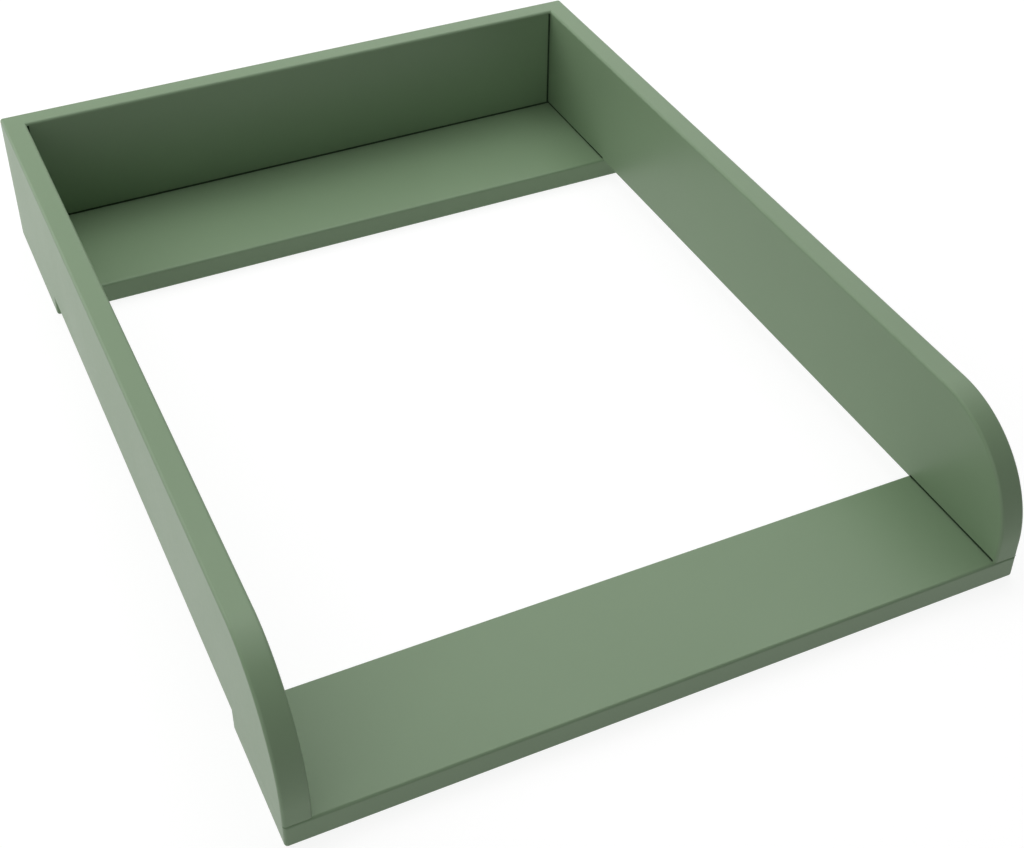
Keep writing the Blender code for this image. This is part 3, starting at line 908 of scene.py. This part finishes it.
# Painted shade for the faces inside the shadow gaps: a dark colour that stands in for deep shade in
# the joints
painted_joint_shade = add_finish(
    "painted_joint_shade", wood_fibre, {"Colour": opaque(JOINT_PAINTED_SHADE), **FELTED},
    bump_strength=0.3, bump_distance=0.0001, Specular_IOR_Level=0.1,
)
raw_fibreboard = add_finish(
    "raw_fibreboard", wood_fibre, {"Colour": opaque(FIBREBOARD), **FELTED},
    bump_strength=0.5, bump_distance=0.0002,
)
zinc_plate = add_finish(
    "zinc_plate", worked_metal,
    {"Colour": opaque(ZINC_PLATE), "Pitting": 0.2, "Roughness": 0.32},
    bump_strength=0.25, bump_distance=0.00004, Metallic=1.0,
)
die_cast = add_finish(
    "cast_zinc", worked_metal,
    {"Colour": opaque(DIE_CAST), "Pitting": 1.0, "Roughness": 0.5},
    bump_strength=0.4, bump_distance=0.00008, Metallic=1.0,
)
upright_beech = add_finish(
    "upright_beech", wood_fibre, {"Colour": opaque(BEECH)},
    bump_strength=0.3, bump_distance=0.0001, stretch=BEECH_UPRIGHT,
)
crosswise_beech = add_finish(
    "crosswise_beech", wood_fibre, {"Colour": opaque(BEECH)},
    bump_strength=0.3, bump_distance=0.0001, stretch=BEECH_CROSSWISE,
)


# The finished pieces


def dress(piece, node, material=None):
    """Makes the piece stand for its node."""
    if material:
        piece.data.materials.clear()
        piece.data.materials.append(material)
    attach(piece, "root")
    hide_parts(node)


def build_panels():
    wall = add_wall()
    wall.data.materials.append(sage_lacquer)
    panels = {
        "left_side_panel": side_of_wall(wall, "shown_left_side_panel", -1),
        "right_side_panel": side_of_wall(wall, "shown_right_side_panel", 1),
        "back_panel": back_of_wall(wall, "shown_back_panel"),
        "front_board": add_board("front_board", sharp_rear_top=False),
        "rear_board": add_board("rear_board", sharp_rear_top=True),
    }
    bpy.data.objects.remove(wall)
    for board in ("front_board", "rear_board"):
        panels[board].data.materials.append(sage_lacquer)
    open_joints(panels)
    return panels


def holes_of(panel_node, shapes):
    """The holes of every fastener whose box reaches into the panel's box."""
    low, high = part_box(panel_node)

    def meets(node):
        start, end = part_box(node)
        return all(start[i] < high[i] and end[i] > low[i] for i in range(3))

    holes = []
    for node in filter(meets, screw_nodes):
        holes.append((shapes["screw"], screw_face(node), (0, 0, 0)))
    for node in filter(meets, dowel_nodes):
        turn = (0, RIGHT_ANGLE, 0) if node in corner_dowel_nodes else (0, 0, 0)
        holes.append((shapes["dowel"], centre(node), turn))
    for node in filter(meets, bolt_nodes):
        side = math.copysign(1, centre(node).x)
        where = centre(node)
        where.x = side * max(abs(corner.x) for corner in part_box(node))
        kind = "ball" if panel_node == "back_panel" else "bolt"
        holes.append((shapes[kind], where, (0, -side * RIGHT_ANGLE, 0)))
    if panel_node == "back_panel":
        for node in cam_nodes:
            holes.append((shapes["cam"], cam_face(node), (RIGHT_ANGLE, 0, 0)))
    return holes


def build():
    panels = build_panels()
    shapes = {
        "screw": screw_hole(),
        "dowel": dowel_hole(),
        "bolt": bolt_hole(),
        "ball": ball_hole(),
        "cam": cam_hole(),
    }
    for node, panel in panels.items():
        bore(panel, holes_of(node, shapes), raw_fibreboard)
        finish_shading(panel)
        dress(panel, node)
    for shape in shapes.values():
        bpy.data.objects.remove(shape)

    screw = add_screw()
    for node in screw_nodes:
        piece = place(copy_of(screw, "shown_" + node), screw_face(node))
        finish_shading(piece)
        dress(piece, node, zinc_plate)
    bpy.data.objects.remove(screw)

    cam = add_cam()
    for node in cam_nodes:
        where = cam_face(node)
        half_turn = 0 if where.x > 0 else math.pi
        piece = place(copy_of(cam, "shown_" + node), where, (RIGHT_ANGLE, half_turn, 0))
        finish_shading(piece)
        dress(piece, node, die_cast)
    bpy.data.objects.remove(cam)

    for node in dowel_nodes:
        wood = crosswise_beech if node in corner_dowel_nodes else upright_beech
        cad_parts[node].material_slots[0].material = wood
    for node in bolt_nodes:
        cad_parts[node].material_slots[0].material = zinc_plate


build()


# Floor, world, lamps and camera


def seen_directly(tree):
    """One for camera, glossy and transmission rays, which see the white background."""
    path = add_node(tree, "ShaderNodeLightPath").outputs
    either = maths(tree, "MAXIMUM", path["Is Camera Ray"], path["Is Glossy Ray"])
    return maths(tree, "MAXIMUM", either, path["Is Transmission Ray"])


def lit_surface(tree, colour, strength):
    """A diffuse surface of the colour that also glows white."""
    shaded = add_node(tree, "ShaderNodeBsdfDiffuse", {"Color": opaque(colour)}).outputs[0]
    glow = add_node(tree, "ShaderNodeEmission", {"Color": WHITE, "Strength": strength}).outputs[0]
    return add_node(tree, "ShaderNodeAddShader", {0: shaded, 1: glow}).outputs[0]


def glow_of_seen_floor(tree):
    """Leaves room for a faint shadow near the object, and rises to white far from it."""
    place_on_floor = add_node(tree, "ShaderNodeTexCoord").outputs["Object"]
    distance = add_node(tree, "ShaderNodeVectorMath", {0: place_on_floor}, operation="LENGTH")
    fade = {
        "Value": distance.outputs["Value"],
        "From Min": SHADOW_REACH, "From Max": WHITE_FROM, "To Min": FLOOR_GLOW, "To Max": 1.0,
    }
    return add_node(tree, "ShaderNodeMapRange", fade).outputs["Result"]


def add_floor():
    """A light table that softly lights the object from beneath.

    Where it is seen it is white, with a faint shadow of the object. From below it isn't there.
    """
    bpy.ops.object.select_all(action="DESELECT")
    bpy.ops.mesh.primitive_plane_add(size=FLOOR_SIZE, location=(0, 0, -FLOOR_GAP))
    floor = take_new("floor")
    material = bpy.data.materials.new("pale_floor")
    material.use_nodes = True
    tree = material.node_tree
    tree.nodes.clear()
    table = lit_surface(tree, TABLE_COLOUR, TABLE_GLOW)
    white = lit_surface(tree, FLOOR_SHADE, glow_of_seen_floor(tree))
    above = add_node(tree, "ShaderNodeMixShader", {0: seen_directly(tree), 1: table, 2: white})
    clear = add_node(tree, "ShaderNodeBsdfTransparent")
    below = add_node(tree, "ShaderNodeNewGeometry").outputs["Backfacing"]
    sides = {0: below, 1: above.outputs[0], 2: clear.outputs[0]}
    surface = add_node(tree, "ShaderNodeMixShader", sides)
    add_node(tree, "ShaderNodeOutputMaterial", {"Surface": surface.outputs[0]})
    floor.data.materials.append(material)


def set_world():
    """White where it is seen or mirrored, and dark for all other rays."""
    world = bpy.data.worlds.new("studio")
    world.use_nodes = True
    tree = world.node_tree
    tree.nodes.clear()
    sockets = {"Color": WHITE, "Strength": seen_directly(tree)}
    background = add_node(tree, "ShaderNodeBackground", sockets)
    add_node(tree, "ShaderNodeOutputWorld", {"Surface": background.outputs[0]})
    bpy.context.scene.world = world


def add_softbox(name, location, size, power):
    """A square lamp that faces the middle of the object."""
    bpy.ops.object.light_add(type="AREA", location=location)
    lamp = bpy.context.object
    lamp.name = name
    lamp.data.shape = "SQUARE"
    lamp.data.size = size
    lamp.data.energy = power
    lamp.rotation_euler = (-Vector(location)).to_track_quat("-Z", "Y").to_euler()
    lamp.visible_camera = False


def add_camera():
    turn = (RIGHT_ANGLE - CAMERA_TILT, 0, CAMERA_TURN)
    bpy.ops.object.camera_add(location=CAMERA_PLACE, rotation=turn)
    camera = bpy.context.object
    camera.data.sensor_width = CAMERA_SENSOR
    camera.data.lens = CAMERA_LENS
    camera.data.shift_x, camera.data.shift_y = CAMERA_SHIFT
    camera.data.clip_start = CAMERA_NEAREST
    camera.data.clip_end = CAMERA_FARTHEST
    bpy.context.scene.camera = camera


add_floor()
set_world()
for softbox in SOFTBOXES:
    add_softbox(*softbox)
add_camera()
bpy.context.scene.view_settings.view_transform = "Standard"
